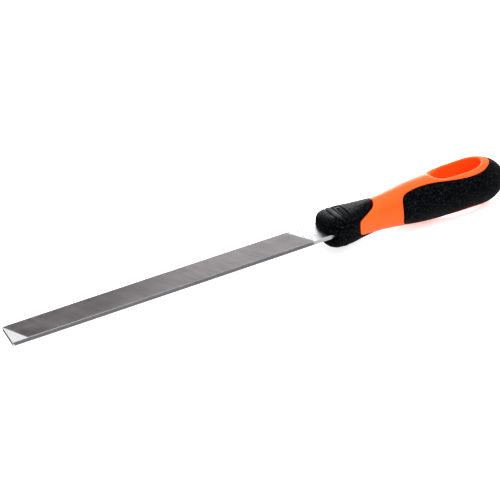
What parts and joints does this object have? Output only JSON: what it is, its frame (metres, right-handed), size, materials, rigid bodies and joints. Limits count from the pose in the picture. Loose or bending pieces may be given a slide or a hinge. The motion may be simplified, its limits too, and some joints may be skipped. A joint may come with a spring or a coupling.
{
  "type": "flat file",
  "caption": "Flat hand file: a thin parallel steel blade with slanted teeth on both faces and edges, on a two-component moulded handle with a hanging hole.",
  "frame": {"origin": "middle of the whole tool's box, on the centre line of the blade's thickness and width", "axes": "+X from the tip of the blade to the end of the handle, +Y to the left edge, +Z out of the upper cut face"},
  "size_m": [0.33, 0.0322, 0.0296],
  "materials": {
    "blade_steel": "hardened tool steel, finely cut teeth, ground bright at the heel and the tip",
    "orange_plastic": "satin moulded polypropylene",
    "black_rubber": "soft thermoplastic rubber with a fine stipple"
  },
  "bodies": {
    "file": {"file_blade": "blade_steel"},
    "handle": {"handle_core": "orange_plastic", "front_collar": "black_rubber", "rear_grip": "black_rubber"}
  },
  "joints": [
    {"name": "handle_pull_off", "type": "slide", "parent": "file", "child": "handle", "axis": [1, 0, 0], "range_m": [0, 0.07]}
  ]
}
